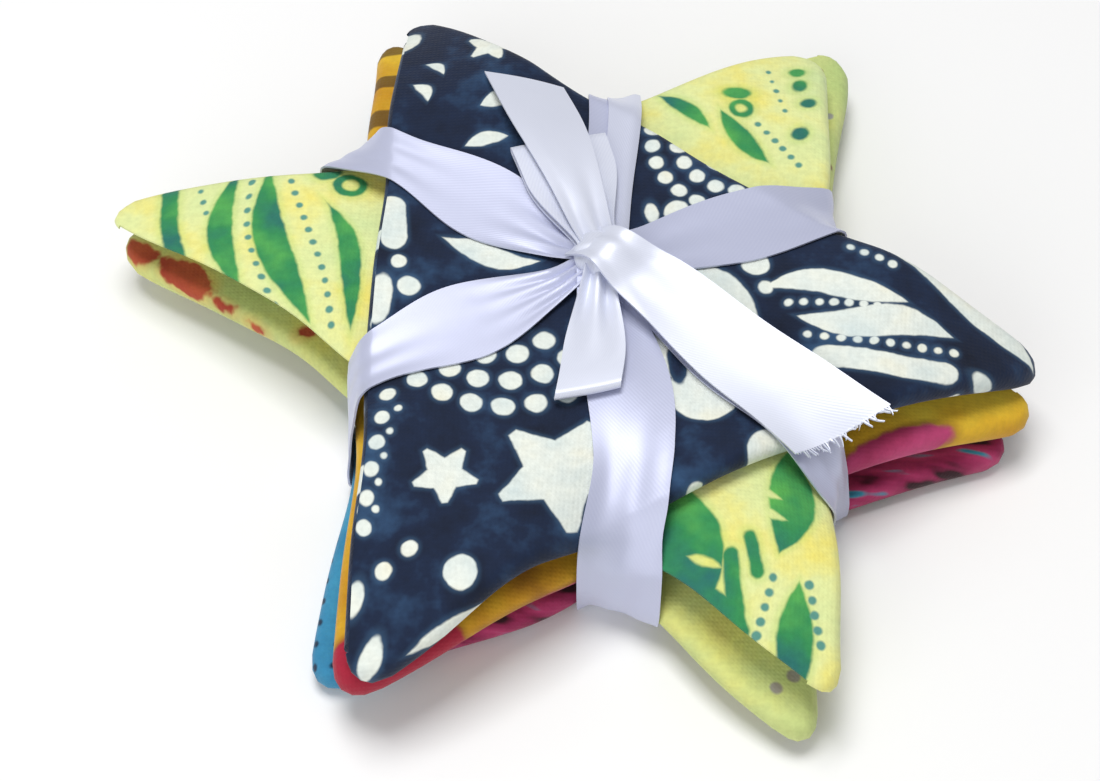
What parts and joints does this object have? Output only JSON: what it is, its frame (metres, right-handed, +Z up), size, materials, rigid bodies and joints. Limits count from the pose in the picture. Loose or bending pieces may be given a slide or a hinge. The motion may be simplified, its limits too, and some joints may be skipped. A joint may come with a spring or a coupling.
{
  "type": "batik fabric bundle",
  "caption": "Cotton cloths in batik prints, folded to triangular packets, stacked as a six-pointed star and tied with a satin ribbon in a small bow.",
  "frame": {"origin": "on the surface that the bundle lies on, under the middle of the star, on the ribbon's lower face", "axes": "+Z up through the stack, +X towards the right-hand tip of the top packet, +Y away from the viewer"},
  "size_m": [0.1581, 0.1427, 0.0356],
  "materials": {
    "navy_batik": "matt cotton, navy with off-white stars, dots and leaves",
    "green_batik": "matt cotton, pale yellow-green with green leaves and dots",
    "gold_batik": "matt cotton, mustard with magenta and crimson patches",
    "lime_batik": "matt cotton, lime with red-brown, pink and pale blue spots",
    "blue_batik": "matt cotton, turquoise with dark dots, pink and maroon patches",
    "white_satin": "white satin ribbon with a soft sheen"
  },
  "bodies": {
    "root": {"packet_navy": "navy_batik", "packet_green": "green_batik", "packet_gold": "gold_batik", "packet_lime": "lime_batik", "packet_blue": "blue_batik", "ribbon": "white_satin"}
  },
  "joints": []
}
